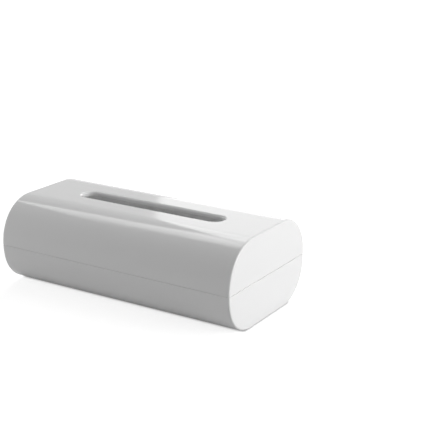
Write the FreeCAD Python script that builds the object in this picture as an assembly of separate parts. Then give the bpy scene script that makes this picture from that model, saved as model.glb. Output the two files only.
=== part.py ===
"""Tissue box holder: a moulded cover with a dispensing slot, standing on a moulded base tray.

Both shells share one cross-section, a soft rounded rectangle that is wider than it is tall. It runs
straight along X and is closed by two flat upright ends. The shells part at the section's widest line,
so that each one leaves its mould in one pull. The base carries a tongue that rises inside a rebate of
the cover, four snap beads on the tongue click into the cover, and a fine groove shows at the joint.

Units are millimetres. X runs along the length, Z is up, and the origin is on the surface that the
holder stands on, at the middle of its footprint.
"""
import FreeCAD
import Part

import math
import os

# Overall form
LENGTH = 262.0            # from end face to end face
WIDTH = 138.0             # across the widest line
HEIGHT = 86.0             # from the foot to the flat top
SHOULDER_RADIUS = 41.0    # from the flat top down to the side
SHOULDER_TURN = 83.0      # degrees that the outline has turned where the shoulder meets the side
SIDE_RADIUS = 64.0        # the full, slightly bulged side
SIDE_TURN = 102.0         # degrees turned where the side meets the lower corner
END_EDGE_RADIUS = 1.6     # softened edge round each end face

# Mouldings
WALL = 2.5                # wall of both shells
INNER_CORNER_RADIUS = 0.6  # inside corner between an end wall and the rest
CUT_MARGIN = 5.0          # how far cutting tools run past what they cut
FLATNESS = 1e-6           # an edge no taller than this lies flat
MATCH = 1e-4              # a point this near to an outline lies on it

# Dispensing slot in the cover
SLOT_LENGTH = 164.0       # clear length, round ends included
SLOT_WIDTH = 20.0         # clear width
SLOT_RIM_RADIUS = 2.4     # rounding from the top down into the slot
LIP_DEPTH = 5.0           # from the top to the lower edge of the turned-down lip
LIP_THICKNESS = 2.0
LIP_EDGE_RADIUS = 0.7     # lower edge of the lip on the slot's side
LIP_ROOT_CHAMFER = 0.8    # where the lip leaves the underside of the top

# Joint between the shells
REVEAL_GAP = 0.5          # height of the groove that shows at the joint
REVEAL_DEPTH = 0.8        # depth of that groove
TONGUE_THICKNESS = 1.0
TONGUE_HEIGHT = 4.0
TONGUE_LEAD_IN = 0.3      # chamfer on the tongue's upper outer edge
TONGUE_SIDE_CLEARANCE = 0.1
TONGUE_TOP_CLEARANCE = 0.4

# Snap beads on the tongue's long sides
BEAD_LENGTH = 18.0
BEAD_RADIUS = 0.8
BEAD_PROUD = 0.35         # how far a bead stands out of the tongue
BEAD_RISE = 2.2           # bead axis above the joint
BEAD_END_MARGIN = 60.0    # bead centre to the end of the holder
BEAD_CLEARANCE = 0.1      # bead to its recess, all round

# Stiffening ribs on the floor of the base
RIB_THICKNESS = 1.6
RIB_HEIGHT = 2.5          # above the inner floor
CROSS_RIB_PITCH = 42.0
CROSS_RIB_END_GAP = 12.0  # least distance from a cross rib to an end wall
LONG_RIB_OFFSET = 22.0    # each long rib to the middle


def turned(radius, degrees):
    """Offset (across, up) from an arc's centre to its point where the outline has turned so far."""
    angle = math.radians(degrees)
    return radius * math.sin(angle), radius * math.cos(angle)


def section_arcs():
    """Centre, radius and turn range of the three arcs on one side, from the top to the foot."""
    shoulder_y, shoulder_z = turned(SHOULDER_RADIUS, SHOULDER_TURN)
    upper_y, upper_z = turned(SIDE_RADIUS, SHOULDER_TURN)
    lower_y, lower_z = turned(SIDE_RADIUS, SIDE_TURN)
    side_y = WIDTH / 2 - SIDE_RADIUS
    shoulder_centre = (side_y + upper_y - shoulder_y, HEIGHT - SHOULDER_RADIUS)
    side_z = shoulder_centre[1] + shoulder_z - upper_z
    turn = math.radians(SIDE_TURN)
    corner_radius = (side_z + lower_z) / (1 + math.cos(turn))
    corner_y = side_y + lower_y - corner_radius * math.sin(turn)
    return [
        (shoulder_centre, SHOULDER_RADIUS, 0.0, SHOULDER_TURN),
        ((side_y, side_z), SIDE_RADIUS, SHOULDER_TURN, SIDE_TURN),
        ((corner_y, corner_radius), corner_radius, SIDE_TURN, 180.0),
    ]


def joint_height():
    """Height of the joint, which is the section's widest line."""
    return section_arcs()[1][0][1]


def half_width(height, inset):
    """Half width of the side at a height near the joint, on the section moved inwards by inset."""
    (side_y, side_z), radius, _, _ = section_arcs()[1]
    return side_y + math.sqrt((radius - inset) ** 2 - (height - side_z) ** 2)


def arc_edge(x, centre, radius, start, end, side):
    """One arc of the section in the plane at x, on the +Y side (side = 1) or the -Y side (-1)."""
    points = []
    for degrees in (start, (start + end) / 2, end):
        across, up = turned(radius, degrees)
        points.append(FreeCAD.Vector(x, side * (centre[0] + across), centre[1] + up))
    return Part.Arc(*points).toShape()


def section_face(x, inset):
    """Face of the cross-section in the plane at x, with its outline moved inwards by inset."""
    arcs = section_arcs()
    edges = []
    for side in (1, -1):
        for centre, radius, start, end in arcs:
            edges.append(arc_edge(x, centre, radius - inset, start, end, side))
    for (flat_half, _), height in ((arcs[0][0], HEIGHT - inset), (arcs[2][0], inset)):
        left = FreeCAD.Vector(x, -flat_half, height)
        right = FreeCAD.Vector(x, flat_half, height)
        edges.append(Part.makeLine(left, right))
    return Part.Face(Part.Wire(Part.__sortEdges__(edges)))


def sharp_form(inset):
    """Solid of the whole holder with every wall moved inwards by inset and its end edges sharp."""
    half_length = LENGTH / 2 - inset
    return section_face(-half_length, inset).extrude(FreeCAD.Vector(2 * half_length, 0, 0))


def rounded_form(inset, edge_radius):
    """Solid of the whole holder with every wall moved inwards by inset and its end edges rounded."""
    body = sharp_form(inset)
    end_edges = [edge for edge in body.Edges if edge.BoundBox.XLength < FLATNESS]
    return body.makeFillet(edge_radius, end_edges)


def outer_form():
    """Outside of the closed holder."""
    return rounded_form(0.0, END_EDGE_RADIUS)


def cavity_form():
    """Hollow of the closed holder, with the small radius that its inside corners have."""
    return rounded_form(WALL, INNER_CORNER_RADIUS)


def slab(bottom, top):
    """Block that spans the holder with room to spare, between two heights."""
    long = LENGTH + 2 * CUT_MARGIN
    wide = WIDTH + 2 * CUT_MARGIN
    corner = FreeCAD.Vector(-long / 2, -wide / 2, bottom)
    return Part.makeBox(long, wide, top - bottom, corner)


def stadium(length, width, bottom, top):
    """Upright prism with straight sides along X and round ends, centred on the Z axis."""
    radius = width / 2
    centre_x = length / 2 - radius
    edges = []
    for side in (1, -1):
        start = FreeCAD.Vector(side * centre_x, -side * radius, bottom)
        middle = FreeCAD.Vector(side * length / 2, 0, bottom)
        end = FreeCAD.Vector(side * centre_x, side * radius, bottom)
        edges.append(Part.Arc(start, middle, end).toShape())
        edges.append(Part.makeLine(end, FreeCAD.Vector(-side * centre_x, side * radius, bottom)))
    face = Part.Face(Part.Wire(Part.__sortEdges__(edges)))
    return face.extrude(FreeCAD.Vector(0, 0, top - bottom))


def edges_at(shape, height):
    """Edges of a shape that lie flat at a height, each with its middle point."""
    found = []
    for edge in shape.Edges:
        box = edge.BoundBox
        if box.ZLength < FLATNESS and abs(box.ZMin - height) < FLATNESS:
            found.append((edge, edge.valueAt((edge.FirstParameter + edge.LastParameter) / 2)))
    return found


def stadium_edges(shape, height, length, width):
    """Edges of a shape that lie flat at a height, on the outline of a stadium of that size."""
    radius = width / 2
    centre_x = length / 2 - radius
    found = []
    for edge, middle in edges_at(shape, height):
        beyond = max(abs(middle.x) - centre_x, 0.0)
        if abs(math.hypot(beyond, middle.y) - radius) < MATCH:
            found.append(edge)
    return found


def add_slot(cover):
    """Cover with the slot cut through its top and the lip turned down round it."""
    outer_length = SLOT_LENGTH + 2 * LIP_THICKNESS
    outer_width = SLOT_WIDTH + 2 * LIP_THICKNESS
    lip_bottom = HEIGHT - LIP_DEPTH
    ceiling = HEIGHT - WALL
    lip = stadium(outer_length, outer_width, lip_bottom, HEIGHT - WALL / 2)
    opening = stadium(SLOT_LENGTH, SLOT_WIDTH, lip_bottom - CUT_MARGIN, HEIGHT + CUT_MARGIN)
    cover = cover.fuse(lip).cut(opening).removeSplitter()
    cover = cover.makeChamfer(LIP_ROOT_CHAMFER, stadium_edges(cover, ceiling, outer_length, outer_width))
    cover = cover.makeFillet(LIP_EDGE_RADIUS, stadium_edges(cover, lip_bottom, SLOT_LENGTH, SLOT_WIDTH))
    return cover.makeFillet(SLOT_RIM_RADIUS, stadium_edges(cover, HEIGHT, SLOT_LENGTH, SLOT_WIDTH))


def bead_rods(clearance):
    """Round rods along X that shape the four snap beads, or their recesses with a clearance."""
    height = joint_height() + BEAD_RISE
    across = half_width(height, WALL - TONGUE_THICKNESS) + BEAD_PROUD - BEAD_RADIUS
    length = BEAD_LENGTH + 2 * clearance
    rods = []
    for end in (1, -1):
        for side in (1, -1):
            middle = end * (LENGTH / 2 - BEAD_END_MARGIN)
            start = FreeCAD.Vector(middle - length / 2, side * across, height)
            along = FreeCAD.Vector(1, 0, 0)
            rods.append(Part.makeCylinder(BEAD_RADIUS + clearance, length, start, along))
    return Part.makeCompound(rods)


def make_tongue(cavity):
    """Tongue of the base, from inside the joint up to its chamfered edge, with its snap beads."""
    joint = joint_height()
    top = joint + TONGUE_HEIGHT
    tongue_form = sharp_form(WALL - TONGUE_THICKNESS)
    ring = tongue_form.common(slab(joint - WALL, top)).cut(cavity)
    outer_edges = [edge for edge, middle in edges_at(ring, top) if not cavity.isInside(middle, MATCH, True)]
    ring = ring.makeChamfer(TONGUE_LEAD_IN, outer_edges)
    return ring.fuse(bead_rods(0.0).cut(cavity))


def rib_tools():
    """Upright plates that become the floor ribs once they are trimmed to the inside of the base."""
    top = WALL + RIB_HEIGHT
    plates = []
    reach = LENGTH / 2 - WALL - CROSS_RIB_END_GAP
    pairs = int(reach // CROSS_RIB_PITCH)
    for step in range(-pairs, pairs + 1):
        corner = FreeCAD.Vector(step * CROSS_RIB_PITCH - RIB_THICKNESS / 2, -WIDTH / 2, 0)
        plates.append(Part.makeBox(RIB_THICKNESS, WIDTH, top, corner))
    for side in (1, -1):
        corner = FreeCAD.Vector(-LENGTH / 2, side * LONG_RIB_OFFSET - RIB_THICKNESS / 2, 0)
        plates.append(Part.makeBox(LENGTH, RIB_THICKNESS, top, corner))
    return plates


def make_ribs():
    """Floor ribs, run half a wall into the floor and the walls so that they fuse with them."""
    plates = rib_tools()
    return plates[0].multiFuse(plates[1:]).common(sharp_form(WALL / 2))


def make_upper_shell():
    """Cover: the upper half of the shell with its slot, the rebate for the tongue and the recesses."""
    joint = joint_height()
    shell = outer_form().cut(cavity_form())
    cover = shell.common(slab(joint, HEIGHT + CUT_MARGIN))
    rebate_form = sharp_form(WALL - TONGUE_THICKNESS - TONGUE_SIDE_CLEARANCE)
    rebate_top = joint + TONGUE_HEIGHT + TONGUE_TOP_CLEARANCE
    cover = cover.cut(rebate_form.common(slab(joint - CUT_MARGIN, rebate_top)))
    cover = add_slot(cover)
    return cover.cut(bead_rods(BEAD_CLEARANCE))


def make_lower_shell():
    """Base tray: the lower half of the shell with the joint groove, the tongue and the floor ribs."""
    joint = joint_height()
    cavity = cavity_form()
    outside = outer_form()
    tray = outside.cut(cavity).common(slab(-CUT_MARGIN, joint))
    groove_floor = rounded_form(REVEAL_DEPTH, END_EDGE_RADIUS - REVEAL_DEPTH)
    groove = slab(joint - REVEAL_GAP, joint + CUT_MARGIN).cut(groove_floor)
    tray = tray.cut(groove)
    return tray.multiFuse([make_tongue(cavity), make_ribs()]).removeSplitter()


def export(name, shape):
    """Write one node's solid to parts/NAME.step."""
    solids = shape.Solids
    if len(solids) != 1 or not solids[0].isValid():
        raise RuntimeError(f"{name}: expected one valid solid, got {len(solids)}")
    solids[0].exportStep(os.path.join("parts", name + ".step"))
    print(f"{name}: {solids[0].Volume / 1000:.1f} cm3")


def main():
    """Build both shells and write them."""
    os.makedirs("parts", exist_ok=True)
    export("upper_shell", make_upper_shell())
    export("lower_shell", make_lower_shell())


main()
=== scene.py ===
"""Looks of a tissue box holder: a glossy white cover with a dispensing slot on a base tray.

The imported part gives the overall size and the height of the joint. Both mouldings are remade here from
the cross-section that they share, as quads whose corners carry the exact direction of the surface, so
that reflections run clean over every arc. Edges that a mould leaves soft are rounded. Lengths are in
metres and angles in degrees unless a name says otherwise.
"""
from __future__ import annotations

import logging
import math
from dataclasses import dataclass
from enum import Enum
from typing import Iterable, NamedTuple, Sequence
import bpy  # noqa: E402
from mathutils import Matrix, Vector  # noqa: E402


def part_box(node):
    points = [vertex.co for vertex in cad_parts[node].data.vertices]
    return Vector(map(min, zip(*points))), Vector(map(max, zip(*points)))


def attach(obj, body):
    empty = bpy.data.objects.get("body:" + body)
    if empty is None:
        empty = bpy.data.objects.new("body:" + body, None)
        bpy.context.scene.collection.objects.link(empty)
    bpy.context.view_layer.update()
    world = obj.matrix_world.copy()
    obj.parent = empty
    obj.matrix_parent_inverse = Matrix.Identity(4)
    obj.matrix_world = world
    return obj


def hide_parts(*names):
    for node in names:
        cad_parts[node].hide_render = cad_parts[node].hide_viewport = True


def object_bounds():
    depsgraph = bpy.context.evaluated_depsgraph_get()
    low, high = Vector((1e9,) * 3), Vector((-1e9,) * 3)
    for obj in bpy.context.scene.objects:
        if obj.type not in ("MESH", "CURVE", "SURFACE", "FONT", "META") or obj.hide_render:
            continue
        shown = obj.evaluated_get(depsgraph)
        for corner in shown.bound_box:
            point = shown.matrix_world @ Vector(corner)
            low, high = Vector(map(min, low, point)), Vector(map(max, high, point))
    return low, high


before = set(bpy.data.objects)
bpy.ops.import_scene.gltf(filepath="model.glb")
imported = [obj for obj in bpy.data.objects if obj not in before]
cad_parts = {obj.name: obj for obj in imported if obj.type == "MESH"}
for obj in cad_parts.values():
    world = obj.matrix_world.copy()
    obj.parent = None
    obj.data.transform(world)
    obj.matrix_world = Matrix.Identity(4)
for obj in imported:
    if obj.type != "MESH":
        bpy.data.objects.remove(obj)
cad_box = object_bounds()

LOG = logging.getLogger("tissue_box_holder")
MM = 0.001

UP = Vector((0.0, 0.0, 1.0))
DOWN = Vector((0.0, 0.0, -1.0))
TOP_TURN = 0.0      # how far the section's outline has turned at the flat top
FOOT_TURN = 180.0   # the same at the flat foot
END_EDGE_RADIUS = 1.6 * MM
INNER_CORNER_RADIUS = 0.6 * MM

# Steps that each curve is drawn in.
SHOULDER_STEPS = 30
SIDE_STEPS = 6
CORNER_STEPS = 28
EDGE_STEPS = 6
SOFT_STEPS = 3
FOOT_STEPS = 4
RIM_STEPS = 10
LIP_EDGE_STEPS = 5
ROOT_STEPS = 4
RIB_TOP_STEPS = 3


class Side(Enum):
    """The two long sides of the holder, as the sign of Y."""

    FRONT = -1
    BACK = 1


class Facing(Enum):
    """Which way a wall surface looks: out of the holder, or into its hollow."""

    OUT = 1
    IN = -1


class Surface(Enum):
    """Material slots of a shell, by index."""

    POLISHED = 0
    MOULDED = 1


class Corner(NamedTuple):
    """A point of a surface and the direction that the surface faces there."""

    at: Vector
    out: Vector


class Station(NamedTuple):
    """A cut across the holder: its place, how far its outline is drawn in, and the edge's tilt."""

    x: float
    inset: float
    tilt: float


def spread(start: float, end: float, steps: int) -> list[float]:
    """Evenly spaced values from start to end.

    Args:
        start: First value.
        end: Last value.
        steps: Number of gaps between the values.

    Returns:
        steps + 1 values, both ends included.
    """
    return [start + (end - start) * step / steps for step in range(steps + 1)]


class SurfaceMesh:
    """Collects polygons with a normal at each corner, welds their points and makes one mesh."""

    WELD = 1e-6
    WELD_SHIFT = 0.37   # keeps round sizes away from the borders between two cells

    def __init__(self) -> None:
        """Start with no polygons."""
        self.points: list[Vector] = []
        self.known: dict[tuple[int, int, int], int] = {}
        self.polygons: list[list[int]] = []
        self.normals: list[Vector] = []
        self.surfaces: list[int] = []

    def point(self, at: Vector) -> int:
        """Index of a point, shared with any earlier point at the same place.

        Args:
            at: Place of the point.

        Returns:
            Its index among the points.
        """
        key = tuple(math.floor(value / self.WELD + self.WELD_SHIFT) for value in at)
        if key not in self.known:
            self.known[key] = len(self.points)
            self.points.append(at)
        return self.known[key]

    def polygon(self, corners: Sequence[Corner], surface: Surface) -> None:
        """Add one polygon, turned so that it faces the way its corners say.

        Args:
            corners: Corners in order round the polygon. Repeated points are dropped.
            surface: Material slot of the polygon.
        """
        kept: list[tuple[int, Corner]] = []
        for corner in corners:
            index = self.point(corner.at)
            if all(index != other for other, _ in kept):
                kept.append((index, corner))
        if len(kept) < 3:
            return
        area = Vector((0.0, 0.0, 0.0))
        facing = Vector((0.0, 0.0, 0.0))
        for (_, here), (_, there) in zip(kept, kept[1:] + kept[:1]):
            area += here.at.cross(there.at)
            facing += here.out
        if area.dot(facing) < 0.0:
            kept.reverse()
        self.polygons.append([index for index, _ in kept])
        self.normals.extend(corner.out for _, corner in kept)
        self.surfaces.append(surface.value)

    def grid(self, rows: Sequence[Sequence[Corner]], surface: Surface, closed: bool = False) -> None:
        """Add quads between neighbouring rows of corners.

        Args:
            rows: Rows with the same number of corners.
            surface: Material slot of the quads.
            closed: Whether each row runs round and joins up with its own start.
        """
        for near, far in zip(rows, rows[1:]):
            last = len(near) if closed else len(near) - 1
            for index in range(last):
                after = (index + 1) % len(near)
                self.polygon((near[index], near[after], far[after], far[index]), surface)

    def flat(self, rows: Sequence[Sequence[Corner]], out: Vector, surface: Surface) -> None:
        """Add quads between closed rows that lie in one plane, all facing one way.

        Args:
            rows: Closed rows with the same number of corners.
            out: Direction that the quads face.
            surface: Material slot of the quads.
        """
        levelled = [[Corner(corner.at, out) for corner in row] for row in rows]
        self.grid(levelled, surface, closed=True)

    def plain(self, made: bpy.types.Mesh, surface: Surface) -> None:
        """Add the polygons of a plain mesh, each one flat.

        Args:
            made: Mesh whose polygons face outwards.
            surface: Material slot of the polygons.
        """
        for polygon in made.polygons:
            places = [made.vertices[index].co.copy() for index in polygon.vertices]
            self.polygon([Corner(at, polygon.normal.copy()) for at in places], surface)

    def build(self, name: str, materials: Sequence[bpy.types.Material]) -> bpy.types.Object:
        """Make the object.

        Args:
            name: Name of the object and its mesh.
            materials: Materials in the order of the Surface slots.

        Returns:
            The new object, linked to the scene at the origin.
        """
        mesh = bpy.data.meshes.new(name)
        mesh.from_pydata([tuple(at) for at in self.points], [], self.polygons)
        for material in materials:
            mesh.materials.append(material)
        mesh.polygons.foreach_set("material_index", self.surfaces)
        mesh.polygons.foreach_set("use_smooth", [True] * len(self.polygons))
        mesh.normals_split_custom_set([tuple(out.normalized()) for out in self.normals])
        mesh.update()
        made = bpy.data.objects.new(name, mesh)
        bpy.context.scene.collection.objects.link(made)
        return made


@dataclass(frozen=True)
class Section:
    """Cross-section of the holder: three tangent arcs a side between a flat top and a flat foot.

    A place on the outline is given by how far the outline has turned there: 0 is the flat top, 90 the
    widest line and 180 the foot. A smaller outline inside it, at an even inset, has the same centres.
    """

    width: float
    height: float
    shoulder_radius: float = 41.0 * MM
    shoulder_turn: float = 83.0
    side_radius: float = 64.0 * MM
    side_turn: float = 102.0

    @property
    def side_centre(self) -> tuple[float, float]:
        """Centre of the side arc, across and up."""
        turn = math.radians(self.shoulder_turn)
        drop = self.shoulder_radius * (1.0 - math.cos(turn)) + self.side_radius * math.cos(turn)
        return self.width / 2 - self.side_radius, self.height - drop

    @property
    def shoulder_centre(self) -> tuple[float, float]:
        """Centre of the shoulder arc, across and up."""
        turn = math.radians(self.shoulder_turn)
        across = self.side_centre[0] + (self.side_radius - self.shoulder_radius) * math.sin(turn)
        return across, self.height - self.shoulder_radius

    @property
    def corner_radius(self) -> float:
        """Radius of the lower corner, which brings the side down to the foot."""
        turn = math.radians(self.side_turn)
        start_height = self.side_centre[1] + self.side_radius * math.cos(turn)
        return start_height / (1.0 + math.cos(turn))

    @property
    def corner_centre(self) -> tuple[float, float]:
        """Centre of the lower corner's arc, across and up."""
        turn = math.radians(self.side_turn)
        across = self.side_centre[0] + (self.side_radius - self.corner_radius) * math.sin(turn)
        return across, self.corner_radius

    def point(self, turn: float, inset: float) -> tuple[float, float]:
        """Place on the outline.

        Args:
            turn: How far the outline has turned from the flat top.
            inset: How far the outline lies inside the outer one.

        Returns:
            Distance from the middle plane and height.
        """
        if turn <= self.shoulder_turn:
            (across, up), radius = self.shoulder_centre, self.shoulder_radius
        elif turn <= self.side_turn:
            (across, up), radius = self.side_centre, self.side_radius
        else:
            (across, up), radius = self.corner_centre, self.corner_radius
        angle = math.radians(turn)
        return across + (radius - inset) * math.sin(angle), up + (radius - inset) * math.cos(angle)

    def turn_at(self, height: float, inset: float) -> float:
        """How far the outline has turned at a height on the side arc.

        Args:
            height: Height of the place.
            inset: How far the outline lies inside the outer one.

        Returns:
            The turn from the flat top.
        """
        rise = (height - self.side_centre[1]) / (self.side_radius - inset)
        return math.degrees(math.acos(rise))

    def upper_turns(self, height: float, inset: float) -> list[float]:
        """Turns from the flat top down to a height on the side.

        Args:
            height: Height where the turns end.
            inset: How far the outline lies inside the outer one.

        Returns:
            The turns in order.
        """
        shoulder = spread(TOP_TURN, self.shoulder_turn, SHOULDER_STEPS)
        return shoulder + spread(self.shoulder_turn, self.turn_at(height, inset), SIDE_STEPS)[1:]

    def lower_turns(self, height: float, inset: float) -> list[float]:
        """Turns from the foot up to a height on the side.

        Args:
            height: Height where the turns end.
            inset: How far the outline lies inside the outer one.

        Returns:
            The turns in order.
        """
        corner = spread(FOOT_TURN, self.side_turn, CORNER_STEPS)
        return corner + spread(self.side_turn, self.turn_at(height, inset), SIDE_STEPS)[1:]


@dataclass(frozen=True)
class Slot:
    """The dispensing slot: its clear outline, its rolled rim and the lip turned down round it."""

    length: float = 164.0 * MM
    width: float = 20.0 * MM
    rim_radius: float = 2.4 * MM
    lip_depth: float = 5.0 * MM
    lip_thickness: float = 2.0 * MM
    lip_edge_radius: float = 0.7 * MM
    root_radius: float = 0.8 * MM
    straight_steps: int = 8
    end_steps: int = 32

    @property
    def straight_half(self) -> float:
        """Half length of the slot's straight sides."""
        return (self.length - self.width) / 2

    def outline(self, offset: float) -> list[tuple[float, float, float, float]]:
        """Points round the slot, counter-clockwise from the start of the front side.

        Args:
            offset: How far outside the clear outline the points lie.

        Returns:
            For each point its x and y, and the x and y of the direction away from the slot.
        """
        radius = self.width / 2 + offset
        straight = self.straight_half
        points = []
        for x in spread(-straight, straight, self.straight_steps)[:-1]:
            points.append((x, -radius, 0.0, -1.0))
        for angle in spread(-90.0, 90.0, self.end_steps)[:-1]:
            across, along = math.sin(math.radians(angle)), math.cos(math.radians(angle))
            points.append((straight + radius * along, radius * across, along, across))
        return points + [(-x, -y, -away_x, -away_y) for x, y, away_x, away_y in points]

    def ring(self, offset: float, height: float, lean: float) -> list[Corner]:
        """Corners round the slot at a height.

        Args:
            offset: How far outside the clear outline they lie.
            height: Their height.
            lean: Direction of the surface: 0 faces away from the slot, 90 up, 180 into the slot.

        Returns:
            The corners in the order of the outline.
        """
        level, up = math.cos(math.radians(lean)), math.sin(math.radians(lean))
        ring = []
        for x, y, away_x, away_y in self.outline(offset):
            ring.append(Corner(Vector((x, y, height)), Vector((level * away_x, level * away_y, up))))
        return ring

    def arc(self, offset: float, height: float, radius: float, leans: Iterable[float],
            hollow: bool = False) -> list[list[Corner]]:
        """Rings over a rounded edge.

        Args:
            offset: How far outside the clear outline the edge's centre line lies.
            height: Height of that line.
            radius: Radius of the edge.
            leans: Direction of the surface at each ring.
            hollow: Whether the edge is an inside corner.

        Returns:
            One ring for each direction.
        """
        rings = []
        for lean in leans:
            reach = -radius if hollow else radius
            across = offset + reach * math.cos(math.radians(lean))
            up = height + reach * math.sin(math.radians(lean))
            rings.append(self.ring(across, up, lean))
        return rings

    def lip_rings(self, top: float, ceiling: float) -> list[list[Corner]]:
        """Rings from the top's surface, over the rim, down the slot and up the lip to the ceiling.

        Args:
            top: Height of the flat top.
            ceiling: Height of the cover's inner ceiling.

        Returns:
            The rings in order.
        """
        bottom = top - self.lip_depth
        rim, edge, root = self.rim_radius, self.lip_edge_radius, self.root_radius
        outer = self.lip_thickness
        rings = self.arc(rim, top - rim, rim, spread(90.0, 180.0, RIM_STEPS))
        rings += self.arc(edge, bottom + edge, edge, spread(180.0, 270.0, LIP_EDGE_STEPS))
        rings += self.arc(outer - edge, bottom + edge, edge, spread(270.0, 360.0, LIP_EDGE_STEPS))
        rings += self.arc(outer + root, ceiling - root, root, spread(0.0, -90.0, ROOT_STEPS), hollow=True)
        return rings


@dataclass(frozen=True)
class Wall:
    """One wall surface of the holder: the section at an inset, run along X and closed by two ends."""

    section: Section
    slot: Slot
    length: float
    inset: float
    edge_radius: float
    facing: Facing
    surface: Surface

    def half_stations(self) -> list[Station]:
        """Stations from the middle out to the +X end, over its rounded edge."""
        straight = self.slot.straight_half
        start = self.length / 2 - self.inset - self.edge_radius
        places = spread(0.0, straight, self.slot.straight_steps // 2)
        places += spread(straight, start, self.slot.end_steps // 4)[1:-1]
        stations = [Station(x, self.inset, 0.0) for x in places]
        for tilt in spread(0.0, 90.0, EDGE_STEPS):
            angle = math.radians(tilt)
            inset = self.inset + self.edge_radius * (1.0 - math.cos(angle))
            stations.append(Station(start + self.edge_radius * math.sin(angle), inset, tilt))
        return stations

    def stations(self) -> list[Station]:
        """All stations from the -X end to the +X end."""
        half = self.half_stations()
        mirrored = [Station(-place.x, place.inset, -place.tilt) for place in half[:0:-1]]
        return mirrored + half

    def corner(self, station: Station, turn: float, side: Side) -> Corner:
        """Corner of the wall.

        Args:
            station: Cut across the holder that the corner lies on.
            turn: How far the section's outline has turned there.
            side: Long side that it lies on.

        Returns:
            The corner, facing the way the wall faces.
        """
        across, up = self.section.point(turn, station.inset)
        tilt, angle = math.radians(station.tilt), math.radians(turn)
        out = Vector((math.sin(tilt), side.value * math.cos(tilt) * math.sin(angle),
                      math.cos(tilt) * math.cos(angle)))
        return Corner(Vector((station.x, side.value * across, up)), out * self.facing.value)

    def ring(self, height: float) -> list[Corner]:
        """Closed row of corners round the wall.

        Args:
            height: Height of the row, on the side arc.

        Returns:
            The front's corners from -X to +X, then the back's from +X to -X.
        """
        stations = self.stations()
        front, back = [
            [self.corner(place, self.section.turn_at(height, place.inset), side) for place in stations]
            for side in Side
        ]
        return front + back[::-1]

    def flat_row(self, station: Station, turn: float, steps: int) -> list[Corner]:
        """Corners straight across the flat top or foot, from front to back.

        Args:
            station: Cut across the holder that the row lies on.
            turn: Turn of the section at the flat's edges.
            steps: Number of gaps between the corners.

        Returns:
            The row.
        """
        start, end = self.corner(station, turn, Side.FRONT), self.corner(station, turn, Side.BACK)
        return [Corner(start.at.lerp(end.at, share), start.out) for share in spread(0.0, 1.0, steps)]

    def add_shell(self, mesh: SurfaceMesh, height: float, upper: bool) -> None:
        """Add the wall from a height on the side to the flat top or to the foot.

        Args:
            mesh: Mesh that the wall is added to.
            height: Height where the wall ends, on the side arc.
            upper: Whether the wall goes up from there to the slotted top, or down to the foot.
        """
        turns_of = self.section.upper_turns if upper else self.section.lower_turns
        flat_turn = TOP_TURN if upper else FOOT_TURN
        flat_steps = self.slot.end_steps // 2 if upper else FOOT_STEPS
        stations = self.stations()
        for side in Side:
            rows = []
            for place in stations:
                turns = turns_of(height, place.inset)
                rows.append([self.corner(place, turn, side) for turn in turns])
            mesh.grid(rows, self.surface)
        edges = [place for place in stations if abs(place.tilt) > 0.0]
        starts = [place for place in stations if place.tilt == 0.0]
        flats = [edges[:EDGE_STEPS] + starts[:1], starts[-1:] + edges[EDGE_STEPS:]]
        if not upper:
            flats.append(starts)
        for run in flats:
            mesh.grid([self.flat_row(place, flat_turn, flat_steps) for place in run], self.surface)
        for place in (stations[0], stations[-1]):
            self.add_end(mesh, place, turns_of(height, place.inset), flat_steps)

    def add_end(self, mesh: SurfaceMesh, station: Station, turns: Sequence[float], flat_steps: int) -> None:
        """Add the flat end face at a station as bands across it.

        Args:
            mesh: Mesh that the face is added to.
            station: First or last station of the wall.
            turns: Turns of the section from the flat top or foot to the wall's edge.
            flat_steps: How many steps the edge of the flat top or foot has.
        """
        row = self.flat_row(station, turns[0], flat_steps)
        for turn in turns[1:]:
            band = [self.corner(station, turn, Side.FRONT), self.corner(station, turn, Side.BACK)]
            mesh.polygon(row + band[::-1], self.surface)
            row = band

    def add_slotted_top(self, mesh: SurfaceMesh, outline: Sequence[Corner]) -> None:
        """Add the flat top between the section's arcs and a ring round the slot.

        Args:
            mesh: Mesh that the top is added to.
            outline: The ring round the slot.
        """
        half = [place for place in self.half_stations() if place.tilt == 0.0]
        along = self.slot.straight_steps // 2
        front = [self.corner(place, TOP_TURN, Side.FRONT) for place in half]
        mirrored = [Station(-place.x, place.inset, 0.0) for place in half]
        middle = [self.corner(place, TOP_TURN, Side.FRONT) for place in mirrored]
        across = self.flat_row(half[-1], TOP_TURN, self.slot.end_steps // 2)
        back = [self.corner(place, TOP_TURN, Side.BACK) for place in half]
        border = middle[along:0:-1] + front + across[1:-1] + back[:along:-1]
        half_turn = Matrix.Diagonal((-1.0, -1.0, 1.0))
        border += [Corner(half_turn @ corner.at, corner.out) for corner in border]
        up = Vector((0.0, 0.0, float(self.facing.value)))
        mesh.flat([border, outline], up, self.surface)


@dataclass(frozen=True)
class Joint:
    """The step joint between the shells, measured from the height where the cover ends."""

    height: float
    wall: float = 2.5 * MM
    reveal_gap: float = 0.5 * MM
    reveal_depth: float = 0.8 * MM
    tongue_thickness: float = 1.0 * MM
    tongue_height: float = 4.0 * MM
    lead_in: float = 0.3 * MM
    side_clearance: float = 0.1 * MM
    top_clearance: float = 0.4 * MM
    soft_edge: float = 0.15 * MM

    @property
    def tongue_inset(self) -> float:
        """Inset of the tongue's outer face."""
        return self.wall - self.tongue_thickness

    @property
    def rebate_inset(self) -> float:
        """Inset of the cover's rebate."""
        return self.tongue_inset - self.side_clearance


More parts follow.
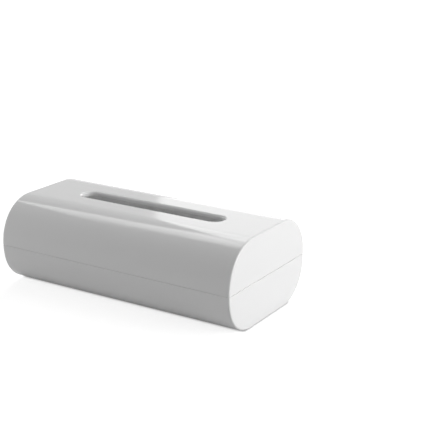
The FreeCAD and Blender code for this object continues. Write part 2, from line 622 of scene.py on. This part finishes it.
@dataclass(frozen=True)
class Shell:
    """What the cover and the base share: the section, the slot's spacing, the joint and the length."""

    section: Section
    slot: Slot
    joint: Joint
    length: float

    def outer_wall(self, inset: float = 0.0) -> Wall:
        """Polished outside of the holder, or a wall just inside it with the same rounded edges.

        Args:
            inset: How far inside the outside it lies.

        Returns:
            The wall.
        """
        radius = END_EDGE_RADIUS - inset
        return Wall(self.section, self.slot, self.length, inset, radius, Facing.OUT, Surface.POLISHED)

    def inner_wall(self, inset: float, facing: Facing = Facing.IN) -> Wall:
        """Moulded surface inside the walls, with the small radius of inside corners.

        Args:
            inset: How far inside the outside it lies.
            facing: Which way it looks.

        Returns:
            The wall.
        """
        radius = INNER_CORNER_RADIUS
        return Wall(self.section, self.slot, self.length, inset, radius, facing, Surface.MOULDED)

    def soft_rings(self, height: float, into: Vector) -> list[list[Corner]]:
        """Rings over the softened edge between the outside and the joint.

        Args:
            height: Height of the flat that the edge leads to.
            into: Direction that this flat faces, up or down.

        Returns:
            Closed rows of corners from the outside to the flat.
        """
        radius = self.joint.soft_edge
        rings = []
        for angle in spread(0.0, math.pi / 2, SOFT_STEPS):
            wall = self.outer_wall(radius * (1.0 - math.cos(angle)))
            level = height - into.z * radius * (1.0 - math.sin(angle))
            ring = wall.ring(level)
            rings.append([
                Corner(corner.at, corner.out * math.cos(angle) + into * math.sin(angle)) for corner in ring
            ])
        return rings


@dataclass(frozen=True)
class Cover(Shell):
    """The upper moulding, from the slot down to its rebate over the tongue."""

    def build(self, materials: Sequence[bpy.types.Material]) -> bpy.types.Object:
        """Make the cover's closed mesh.

        Args:
            materials: Materials in the order of the Surface slots.

        Returns:
            The cover.
        """
        joint = self.joint
        mesh = SurfaceMesh()
        outside, inside = self.outer_wall(), self.inner_wall(joint.wall)
        rebate = self.inner_wall(joint.rebate_inset)
        rebate_top = joint.height + joint.tongue_height + joint.top_clearance
        outside.add_shell(mesh, joint.height + joint.soft_edge, upper=True)
        inside.add_shell(mesh, rebate_top, upper=True)
        soft = self.soft_rings(joint.height, DOWN)
        mesh.grid(soft, Surface.POLISHED, closed=True)
        mesh.flat([soft[-1], rebate.ring(joint.height)], DOWN, Surface.MOULDED)
        levels = spread(joint.height, rebate_top, SIDE_STEPS)
        mesh.grid([rebate.ring(level) for level in levels], Surface.MOULDED, closed=True)
        mesh.flat([rebate.ring(rebate_top), inside.ring(rebate_top)], DOWN, Surface.MOULDED)
        top = self.section.height
        lip = self.slot.lip_rings(top, top - joint.wall)
        mesh.grid(lip, Surface.POLISHED, closed=True)
        outside.add_slotted_top(mesh, lip[0])
        inside.add_slotted_top(mesh, lip[-1])
        return mesh.build("cover", materials)


class TreeInput(NamedTuple):
    """A named size of a Geometry Nodes tree: the kind of its socket and its value."""

    kind: str
    value: float | int | bpy.types.Material


class RibTree:
    """Geometry Nodes tree that sweeps one rib profile along two evenly spaced rows of lines."""

    def __init__(self, name: str, sizes: dict[str, TreeInput]) -> None:
        """Start a tree with its named inputs.

        Args:
            name: Name of the tree.
            sizes: Inputs of the tree by name.
        """
        self.tree = bpy.data.node_groups.new(name, "GeometryNodeTree")
        self.sizes = sizes
        for label, size in sizes.items():
            self.tree.interface.new_socket(label, in_out="INPUT", socket_type=size.kind)
        self.tree.interface.new_socket("Ribs", in_out="OUTPUT", socket_type="NodeSocketGeometry")
        self.given = self.tree.nodes.new("NodeGroupInput").outputs

    def node(self, kind: str, **sockets: bpy.types.NodeSocket | float | int | bool) -> bpy.types.Node:
        """Add a node.

        Args:
            kind: Identifier of the node's type.
            sockets: What feeds each input, by its name in lower case with underscores.

        Returns:
            The new node.
        """
        made = self.tree.nodes.new(kind)
        for name, source in sockets.items():
            target = next(put for put in made.inputs if put.name.lower().replace(" ", "_") == name)
            if isinstance(source, bpy.types.NodeSocket):
                self.tree.links.new(source, target)
            else:
                target.default_value = source
        return made

    def product(self, first: bpy.types.NodeSocket, second: bpy.types.NodeSocket | float,
                add: float = 0.0) -> bpy.types.NodeSocket:
        """The value (first + add) x second.

        Args:
            first: First value.
            second: What it is multiplied by.
            add: What is added to it before that.

        Returns:
            The result.
        """
        moved = self.tree.nodes.new("ShaderNodeMath")
        self.tree.links.new(first, moved.inputs[0])
        moved.inputs[1].default_value = add
        scaled = self.tree.nodes.new("ShaderNodeMath")
        scaled.operation = "MULTIPLY"
        self.tree.links.new(moved.outputs[0], scaled.inputs[0])
        if isinstance(second, bpy.types.NodeSocket):
            self.tree.links.new(second, scaled.inputs[1])
        else:
            scaled.inputs[1].default_value = second
        return scaled.outputs[0]

    def profile(self) -> bpy.types.NodeSocket:
        """The rib's cross-section: a drafted trapezoid with softened corners, upside down for the sweep."""
        given = self.given
        trapezoid = self.node(
            "GeometryNodeCurvePrimitiveQuadrilateral", height=given["Height"],
            bottom_width=given["Top Thickness"], top_width=given["Root Thickness"], offset=0.0,
        )
        trapezoid.mode = "TRAPEZOID"
        softened = self.node("GeometryNodeFilletCurve", curve=trapezoid.outputs[0],
                             radius=given["Top Radius"], count=RIB_TOP_STEPS)
        softened.mode = "POLY"
        return softened.outputs[0]

    def row(self, label: str, run: str, step: str) -> bpy.types.NodeSocket:
        """One row of ribs.

        Args:
            label: Start of the names of the row's inputs.
            run: Axis that its ribs run along, "x" or "y".
            step: Axis that they are spaced along.

        Returns:
            The row as instances.
        """
        given = self.given
        length, pitch = given[f"{label} Length"], given[f"{label} Pitch"]
        start = self.node("ShaderNodeCombineXYZ", **{run: self.product(length, -0.5)})
        end = self.node("ShaderNodeCombineXYZ", **{run: self.product(length, 0.5)})
        line = self.node("GeometryNodeCurvePrimitiveLine", start=start.outputs[0], end=end.outputs[0])
        rib = self.node("GeometryNodeCurveToMesh", curve=line.outputs[0], profile_curve=self.profile(),
                        fill_caps=True)
        half_row = self.product(self.product(given[f"{label} Count"], pitch, add=-1.0), -0.5)
        first = self.node("ShaderNodeCombineXYZ", **{step: half_row, "z": given["Level"]})
        offset = self.node("ShaderNodeCombineXYZ", **{step: pitch})
        places = self.node("GeometryNodeMeshLine", count=given[f"{label} Count"],
                           start_location=first.outputs[0], offset=offset.outputs[0])
        placed = self.node("GeometryNodeInstanceOnPoints", points=places.outputs[0],
                           instance=rib.outputs[0])
        return placed.outputs[0]

    def finish(self, rows: Sequence[bpy.types.NodeSocket]) -> bpy.types.Mesh:
        """Join the rows, close the tree and run it.

        Args:
            rows: The rows of ribs.

        Returns:
            A plain mesh of all ribs.
        """
        joined = self.tree.nodes.new("GeometryNodeJoinGeometry")
        for row in rows:
            self.tree.links.new(row, joined.inputs[0])
        real = self.node("GeometryNodeRealizeInstances", geometry=joined.outputs[0])
        dressed = self.node("GeometryNodeSetMaterial", geometry=real.outputs[0],
                            material=self.given["Material"])
        output = self.tree.nodes.new("NodeGroupOutput")
        self.tree.links.new(dressed.outputs[0], output.inputs[0])
        holder = bpy.data.objects.new(self.tree.name, bpy.data.meshes.new(self.tree.name))
        bpy.context.scene.collection.objects.link(holder)
        modifier = holder.modifiers.new(self.tree.name, "NODES")
        modifier.node_group = self.tree
        for item in self.tree.interface.items_tree:
            if item.in_out == "INPUT":
                modifier[item.identifier] = self.sizes[item.name].value
        graph = bpy.context.evaluated_depsgraph_get()
        made = bpy.data.meshes.new_from_object(holder.evaluated_get(graph))
        bpy.data.objects.remove(holder)
        return made


@dataclass(frozen=True)
class FloorRibs:
    """Stiffening ribs moulded on the floor of the base: an even row across it and two along it."""

    section: Section
    length: float
    wall: float
    thickness: float = 1.6 * MM
    top_thickness: float = 1.4 * MM
    long_count: int = 2
    height: float = 2.5 * MM
    top_radius: float = 0.25 * MM
    root_depth: float = 0.1 * MM
    cross_pitch: float = 42.0 * MM
    cross_end_gap: float = 12.0 * MM
    long_offset: float = 22.0 * MM

    @property
    def cross_count(self) -> int:
        """Number of ribs across the floor, one of them in the middle."""
        reach = self.length / 2 - self.wall - self.cross_end_gap
        return 2 * int(reach // self.cross_pitch) + 1

    @property
    def cross_length(self) -> float:
        """Length of a cross rib, whose upper ends run out on the rounded corners of the tray."""
        across, up = self.section.corner_centre
        radius = self.section.corner_radius - self.wall
        drop = up - (self.wall + self.height)
        return 2 * (across + math.sqrt(radius ** 2 - drop ** 2))

    def mesh(self, material: bpy.types.Material) -> bpy.types.Mesh:
        """Make the ribs, sunk a little into the floor.

        Args:
            material: Material of the ribs.

        Returns:
            A plain mesh in the holder's frame.
        """
        size = "NodeSocketFloat"
        tree = RibTree("floor_ribs", {
            "Root Thickness": TreeInput(size, self.thickness),
            "Top Thickness": TreeInput(size, self.top_thickness),
            "Height": TreeInput(size, self.height + self.root_depth),
            "Top Radius": TreeInput(size, self.top_radius),
            "Level": TreeInput(size, self.wall + (self.height - self.root_depth) / 2),
            "Cross Count": TreeInput("NodeSocketInt", self.cross_count),
            "Cross Pitch": TreeInput(size, self.cross_pitch),
            "Cross Length": TreeInput(size, self.cross_length),
            "Long Count": TreeInput("NodeSocketInt", self.long_count),
            "Long Pitch": TreeInput(size, 2 * self.long_offset),
            "Long Length": TreeInput(size, self.length - self.wall),
            "Material": TreeInput("NodeSocketMaterial", material),
        })
        return tree.finish([tree.row("Cross", run="y", step="x"), tree.row("Long", run="x", step="y")])


@dataclass(frozen=True)
class BaseTray(Shell):
    """The lower moulding, from the flat foot up to the tongue that stands inside the cover."""

    def build(self, materials: Sequence[bpy.types.Material]) -> bpy.types.Object:
        """Make the base's closed mesh.

        Args:
            materials: Materials in the order of the Surface slots.

        Returns:
            The base.
        """
        joint = self.joint
        mesh = SurfaceMesh()
        outside, inside = self.outer_wall(), self.inner_wall(joint.wall)
        groove = self.inner_wall(joint.reveal_depth, Facing.OUT)
        tongue = self.inner_wall(joint.tongue_inset, Facing.OUT)
        led_in = self.inner_wall(joint.tongue_inset + joint.lead_in, Facing.OUT)
        groove_floor = joint.height - joint.reveal_gap
        tongue_top = joint.height + joint.tongue_height
        outside.add_shell(mesh, groove_floor - joint.soft_edge, upper=False)
        inside.add_shell(mesh, tongue_top, upper=False)
        soft = self.soft_rings(groove_floor, UP)
        mesh.grid(soft, Surface.POLISHED, closed=True)
        mesh.flat([soft[-1], groove.ring(groove_floor)], UP, Surface.POLISHED)
        mesh.grid([groove.ring(groove_floor), groove.ring(joint.height)], Surface.POLISHED, closed=True)
        mesh.flat([groove.ring(joint.height), tongue.ring(joint.height)], UP, Surface.MOULDED)
        levels = spread(joint.height, tongue_top - joint.lead_in, SIDE_STEPS)
        mesh.grid([tongue.ring(level) for level in levels], Surface.MOULDED, closed=True)
        mesh.grid([tongue.ring(levels[-1]), led_in.ring(tongue_top)], Surface.MOULDED, closed=True)
        mesh.flat([led_in.ring(tongue_top), inside.ring(tongue_top)], UP, Surface.MOULDED)
        ribs = FloorRibs(self.section, self.length, joint.wall)
        mesh.plain(ribs.mesh(materials[Surface.MOULDED.value]), Surface.MOULDED)
        return mesh.build("base_tray", materials)


def combine(operation: str, first: bpy.types.NodeSocket,
            second: bpy.types.NodeSocket) -> bpy.types.NodeSocket:
    """Join two values of one tree.

    Args:
        operation: Name of the operation.
        first: First value.
        second: Second value.

    Returns:
        The result.
    """
    tree = first.node.id_data
    made = tree.nodes.new("ShaderNodeMath")
    made.operation = operation
    tree.links.new(first, made.inputs[0])
    tree.links.new(second, made.inputs[1])
    return made.outputs["Value"]


def mapped(value: bpy.types.NodeSocket, low: float, high: float, start: float = 0.0,
           end: float = 1.0) -> bpy.types.NodeSocket:
    """Carry a value's range over to another range.

    Args:
        value: The value.
        low: Result at start.
        high: Result at end.
        start: Start of the value's range.
        end: End of the value's range.

    Returns:
        The result, which stays between low and high.
    """
    tree = value.node.id_data
    made = tree.nodes.new("ShaderNodeMapRange")
    sizes = {"From Min": start, "From Max": end, "To Min": low, "To Max": high}
    for name, size in sizes.items():
        made.inputs[name].default_value = size
    tree.links.new(value, made.inputs["Value"])
    return made.outputs["Result"]


@dataclass(frozen=True)
class PlasticFinish:
    """White moulded plastic: its colour, its gloss and the fine unevenness of a moulded surface.

    Where its light depth is above zero the plastic is cloudy: light goes that far into it, and daylight
    outside a thin wall glows through to the hollow.
    """

    REFRACTION = 1.5
    DRIFT_SPAN = 6.0     # a colour patch's size, in ripples
    PATCH_SHARE = 3.0    # gloss patches in a ripple

    name: str
    colour: tuple[float, float, float]
    colour_drift: float
    light_depth: float
    gloss_low: float
    gloss_high: float
    ripple_size: float
    ripple_height: float
    grain_size: float
    grain_height: float

    def material(self) -> bpy.types.Material:
        """Build the material.

        Returns:
            A material whose patterns follow the piece in metres.
        """
        made = bpy.data.materials.new(self.name)
        made.use_nodes = True
        nodes, links = made.node_tree.nodes, made.node_tree.links
        shader = nodes["Principled BSDF"]
        shader.inputs["IOR"].default_value = self.REFRACTION
        shader.inputs["Subsurface Weight"].default_value = 1.0 if self.light_depth else 0.0
        shader.inputs["Subsurface Radius"].default_value = (1.0, 1.0, 1.0)
        shader.inputs["Subsurface Scale"].default_value = self.light_depth
        place = nodes.new("ShaderNodeTexCoord").outputs["Object"]

        drift = self.noise(made, place, self.DRIFT_SPAN * self.ripple_size, detail=2.0)
        tint = nodes.new("ShaderNodeMix")
        tint.data_type = "RGBA"
        low = [channel - self.colour_drift for channel in self.colour]
        high = [channel + self.colour_drift for channel in self.colour]
        tint.inputs["A"].default_value = (*low, 1.0)
        tint.inputs["B"].default_value = (*high, 1.0)
        links.new(drift, tint.inputs["Factor"])
        links.new(tint.outputs["Result"], shader.inputs["Base Color"])

        patches = self.noise(made, place, self.ripple_size / self.PATCH_SHARE, detail=4.0)
        links.new(mapped(patches, self.gloss_low, self.gloss_high), shader.inputs["Roughness"])

        ripple = nodes.new("ShaderNodeBump")
        ripple.inputs["Distance"].default_value = self.ripple_height
        links.new(self.noise(made, place, self.ripple_size, detail=1.0), ripple.inputs["Height"])
        grain = nodes.new("ShaderNodeBump")
        grain.inputs["Distance"].default_value = self.grain_height
        links.new(self.noise(made, place, self.grain_size, detail=2.0), grain.inputs["Height"])
        links.new(ripple.outputs["Normal"], grain.inputs["Normal"])
        links.new(grain.outputs["Normal"], shader.inputs["Normal"])
        return made

    @staticmethod
    def noise(made: bpy.types.Material, place: bpy.types.NodeSocket, size: float,
              detail: float) -> bpy.types.NodeSocket:
        """Noise whose blobs are about a size across.

        Args:
            made: Material that the noise belongs to.
            place: Where the pattern is read.
            size: Size of its blobs.
            detail: How much finer noise is laid over them.

        Returns:
            A value from 0 to 1.
        """
        texture = made.node_tree.nodes.new("ShaderNodeTexNoise")
        texture.inputs["Scale"].default_value = 1.0 / size
        texture.inputs["Detail"].default_value = detail
        made.node_tree.links.new(place, texture.inputs["Vector"])
        return texture.outputs["Fac"]


POLISHED_WHITE = PlasticFinish(
    name="polished_white", colour=(0.84, 0.84, 0.84), colour_drift=0.006, light_depth=0.0,
    gloss_low=0.06, gloss_high=0.10, ripple_size=45.0 * MM, ripple_height=0.02 * MM,
    grain_size=0.9 * MM, grain_height=0.0006 * MM,
)
MOULDED_WHITE = PlasticFinish(
    name="moulded_white", colour=(0.93, 0.93, 0.93), colour_drift=0.010, light_depth=4.0 * MM,
    gloss_low=0.32, gloss_high=0.42, ripple_size=30.0 * MM, ripple_height=0.02 * MM,
    grain_size=0.6 * MM, grain_height=0.006 * MM,
)


@dataclass(frozen=True)
class SoftBox:
    """A plain rectangular studio light."""

    name: str
    centre: tuple[float, float, float]
    aim: tuple[float, float, float]
    width: float
    height: float
    brightness: float
    turn: float = 0.0

    def build(self) -> bpy.types.Object:
        """Make the light.

        Returns:
            An area light whose face looks at its aim. Brightness 1 is the level of a white wall.
        """
        data = bpy.data.lights.new(self.name, "AREA")
        data.shape = "RECTANGLE"
        data.size = self.width
        data.size_y = self.height
        data.energy = self.brightness * math.pi * self.width * self.height
        light = bpy.data.objects.new(self.name, data)
        light.location = self.centre
        facing = (Vector(self.aim) - Vector(self.centre)).to_track_quat("-Z", "Y").to_matrix()
        light.rotation_euler = (facing @ Matrix.Rotation(math.radians(self.turn), 3, "Z")).to_euler()
        bpy.context.scene.collection.objects.link(light)
        return light


# Name, centre, what it looks at, width, height, brightness and turn of each light.
SOFT_BOXES = (
    SoftBox("right_box", (1.6, 0.35, 0.55), (0.0, 0.0, 0.04), 1.2, 1.0, 6.2),
    SoftBox("front_fill", (0.15, -2.0, 0.7), (0.0, 0.0, 0.04), 1.8, 1.0, 0.6),
    SoftBox("left_fill", (-1.63, -0.76, 0.35), (0.0, 0.0, 0.04), 0.9, 1.0, 5.0),
    SoftBox("back_wall", (-0.72, 1.5, 1.2), (-0.72, 0.0, 1.2), 0.9, 2.2, 1.12, -13.0),
    SoftBox("back_wall_top", (-0.52, 1.49, 1.88), (-0.52, 0.0, 1.88), 1.6, 1.6, 1.3, -13.0),
    SoftBox("ceiling_panel", (-0.68, 1.16, 1.71), (-0.68, 1.16, 0.0), 0.88, 0.7, 1.5),
    SoftBox("strip_right", (-0.95, 0.56, 1.73), (-0.95, 0.56, 0.0), 0.5, 0.8, 0.55),
    SoftBox("strip_right_end", (-0.80, 0.62, 1.74), (-0.80, 0.62, 0.0), 0.36, 0.9, 0.65),
    SoftBox("strip_edge", (-1.12, 0.40, 1.70), (-1.12, 0.40, 0.0), 0.8, 0.7, 0.85, 37.0),
    SoftBox("strip_halo", (-1.16, 0.47, 1.69), (-1.16, 0.47, 0.0), 0.8, 0.5, 1.1, 37.0),
    SoftBox("strip_core", (-1.22, 0.55, 1.68), (-1.22, 0.55, 0.0), 0.8, 0.3, 0.5, 37.0),
)


@dataclass(frozen=True)
class Viewpoint:
    """Where the camera stands and how it looks."""

    place: tuple[float, float, float]
    azimuth: float
    elevation: float
    roll: float
    lens_mm: float
    sensor_mm: float = 36.0
    sight: float = 50.0

    def build(self) -> bpy.types.Object:
        """Make the camera and use it for the scene.

        Returns:
            The camera.
        """
        data = bpy.data.cameras.new("camera")
        data.sensor_width = self.sensor_mm
        data.lens = self.lens_mm
        data.clip_end = self.sight
        camera = bpy.data.objects.new("camera", data)
        turn = Matrix.Rotation(math.radians(self.azimuth), 4, "Z")
        tip = Matrix.Rotation(math.radians(90.0 - self.elevation), 4, "X")
        lean = Matrix.Rotation(math.radians(self.roll), 4, "Z")
        camera.matrix_world = Matrix.Translation(self.place) @ turn @ tip @ lean
        bpy.context.scene.collection.objects.link(camera)
        bpy.context.scene.camera = camera
        return camera


VIEWPOINT = Viewpoint(
    place=(0.57628, -0.80388, 0.38635), azimuth=31.548, elevation=17.881, roll=0.418, lens_mm=85.849,
)


@dataclass(frozen=True)
class Studio:
    """White floor, even surroundings and soft boxes."""

    boxes: Sequence[SoftBox]
    light_bounces: int = 16
    floor_half: float = 12.0
    floor_white: float = 0.76
    floor_near: float = 0.5
    floor_far: float = 2.5
    floor_reflectance: float = 0.57
    # Reach of the painted contact shadow in the floor's glow: narrow when seen directly, wider in the
    # gloss.
    painted_shade_reach: float = 2.0 * MM
    gloss_painted_shade_reach: float = 13.0 * MM
    painted_shade_samples: int = 8
    ambient: float = 0.08

    def build(self) -> None:
        """Make the floor, the surroundings and the lights, and show colours as they are."""
        bpy.context.scene.view_settings.view_transform = "Standard"
        bpy.context.scene.cycles.max_bounces = self.light_bounces
        bpy.context.scene.cycles.diffuse_bounces = self.light_bounces
        self.add_floor()
        self.set_world()
        for box in self.boxes:
            box.build()

    def seen_directly(self, tree: bpy.types.NodeTree) -> bpy.types.NodeSocket:
        """Pick out rays that show the background: from the camera, off gloss or through glass.

        Args:
            tree: Tree that the value is made in.

        Returns:
            A value of 1 for those rays and 0 for others.
        """
        path = tree.nodes.new("ShaderNodeLightPath").outputs
        seen = combine("MAXIMUM", path["Is Camera Ray"], path["Is Glossy Ray"])
        return combine("MAXIMUM", seen, path["Is Transmission Ray"])

    def floor_glow(self, tree: bpy.types.NodeTree) -> bpy.types.NodeSocket:
        """Strength of the floor's own white.

        It rises to full white further out, where the lights fade. Near the holder an ambient occlusion node
        dims it as a painted contact shadow. That painted shade reaches further out in the gloss and darkens
        the holder's reflection of the floor.

        Args:
            tree: Tree that the value is made in.

        Returns:
            The strength.
        """
        away = tree.nodes.new("ShaderNodeVectorMath")
        away.operation = "LENGTH"
        tree.links.new(tree.nodes.new("ShaderNodeTexCoord").outputs["Object"], away.inputs[0])
        level = mapped(away.outputs["Value"], self.floor_white, 1.0, self.floor_near, self.floor_far)
        # Painted contact shadow: ambient occlusion dims the floor's glow near the holder, further out for
        # gloss rays, which paints shade into the holder's reflection.
        painted_contact_shade = tree.nodes.new("ShaderNodeAmbientOcclusion")
        painted_contact_shade.samples = self.painted_shade_samples
        off_gloss = tree.nodes.new("ShaderNodeLightPath").outputs["Is Glossy Ray"]
        reach = mapped(off_gloss, self.painted_shade_reach, self.gloss_painted_shade_reach)
        tree.links.new(reach, painted_contact_shade.inputs["Distance"])
        shown = combine("MULTIPLY", self.seen_directly(tree), level)
        return combine("MULTIPLY", shown, painted_contact_shade.outputs["AO"])

    def add_floor(self) -> None:
        """Make the floor, which looks white, keeps the holder's shadow and has a painted contact shadow
        where the holder stands on it.
        """
        half = self.floor_half
        mesh = bpy.data.meshes.new("floor")
        corners = [(-half, -half, 0.0), (half, -half, 0.0), (half, half, 0.0), (-half, half, 0.0)]
        mesh.from_pydata(corners, [], [(0, 1, 2, 3)])
        floor = bpy.data.objects.new("floor", mesh)
        bpy.context.scene.collection.objects.link(floor)
        made = bpy.data.materials.new("floor_white")
        made.use_nodes = True
        tree = made.node_tree
        tree.nodes.remove(tree.nodes["Principled BSDF"])
        matt = tree.nodes.new("ShaderNodeBsdfDiffuse")
        matt.inputs["Color"].default_value = (*[self.floor_reflectance] * 3, 1.0)
        glow = tree.nodes.new("ShaderNodeEmission")
        tree.links.new(self.floor_glow(tree), glow.inputs["Strength"])
        both = tree.nodes.new("ShaderNodeAddShader")
        tree.links.new(matt.outputs["BSDF"], both.inputs[0])
        tree.links.new(glow.outputs["Emission"], both.inputs[1])
        tree.links.new(both.outputs["Shader"], tree.nodes["Material Output"].inputs["Surface"])
        mesh.materials.append(made)

    def set_world(self) -> None:
        """Light the holder evenly from all round, and show white where the floor ends."""
        world = bpy.data.worlds.new("surroundings")
        world.use_nodes = True
        tree = world.node_tree
        backdrop = tree.nodes["Background"]
        backdrop.inputs["Color"].default_value = (1.0, 1.0, 1.0, 1.0)
        strength = mapped(self.seen_directly(tree), self.ambient, 1.0)
        tree.links.new(strength, backdrop.inputs["Strength"])
        bpy.context.scene.world = world


def main() -> None:
    """Build the holder, the studio and the camera."""
    logging.basicConfig(level=logging.INFO, format="%(name)s: %(message)s")
    low, high = cad_box
    size = high - low
    section = Section(width=size.y, height=size.z)
    joint = Joint(height=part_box("upper_shell")[0][2])
    materials = [POLISHED_WHITE.material(), MOULDED_WHITE.material()]
    for maker, node in ((Cover, "upper_shell"), (BaseTray, "lower_shell")):
        piece = maker(section, Slot(), joint, size.x).build(materials)
        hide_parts(node)
        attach(piece, "root")
        LOG.info("%s: %d polygons", piece.name, len(piece.data.polygons))
    Studio(SOFT_BOXES).build()
    VIEWPOINT.build()


if __name__ == "__main__":
    main()
